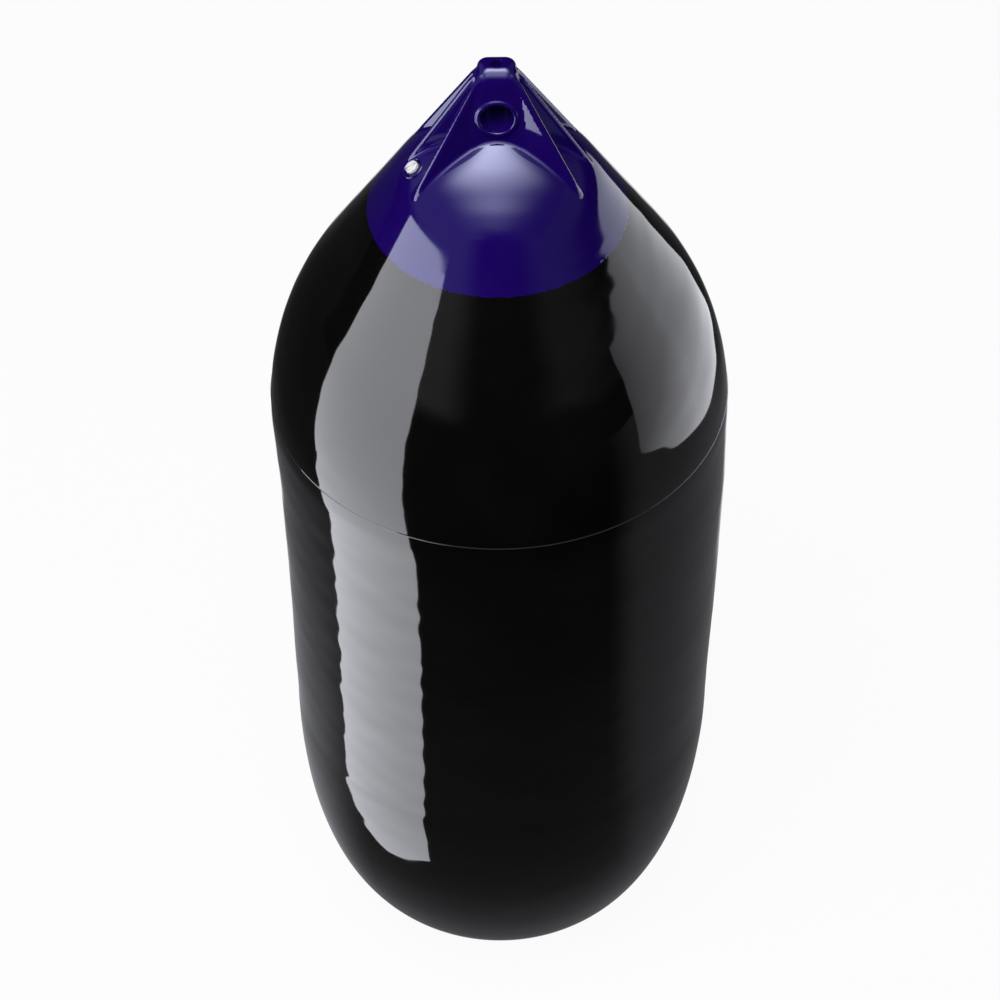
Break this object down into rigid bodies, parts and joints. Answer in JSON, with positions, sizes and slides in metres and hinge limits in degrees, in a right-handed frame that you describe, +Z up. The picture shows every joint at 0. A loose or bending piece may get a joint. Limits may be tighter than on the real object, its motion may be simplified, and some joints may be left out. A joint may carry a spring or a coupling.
{
  "type": "pneumatic fender",
  "caption": "Inflatable cylindrical boat fender with a domed lower end, a conical shoulder and a ribbed moulded ropehold with a cross eye and a screw valve.",
  "frame": {"origin": "centre of the flat spot on the domed lower end, on the surface that the fender stands on", "axes": "+Z up along the fender's axis to the ropehold, +Y along the bore of the rope eye away from the front, +X to the right as seen from the front"},
  "size_m": [0.508, 0.508, 1.2695],
  "materials": {
    "black_vinyl": "high-gloss moulded black vinyl with a faint rippled surface",
    "blue_vinyl": "glossy moulded ultramarine vinyl",
    "grey_plastic": "satin moulded plastic",
    "black_rubber": "matt rubber",
    "white_plastic": "glossy moulded plastic"
  },
  "bodies": {
    "fender": {"body": "black_vinyl", "ropehold": "blue_vinyl", "valve_insert": "grey_plastic"},
    "seal": {"valve_seal": "black_rubber"},
    "plug": {"valve_plug": "white_plastic"}
  },
  "joints": [
    {"name": "plug_lift", "type": "slide", "parent": "fender", "child": "seal", "axis": [-0.5559, -0.108, 0.8242], "range_m": [0, 0.01]},
    {"name": "plug_turn", "type": "hinge", "parent": "seal", "child": "plug", "pos_m": [-0.08982, -0.01746, 1.1399], "axis": [-0.5559, -0.108, 0.8242], "range_deg": [0, 1810]}
  ],
  "couplings": [
    {"joint": "plug_turn", "follows": "plug_lift", "rad_per_m": 3141.6}
  ]
}
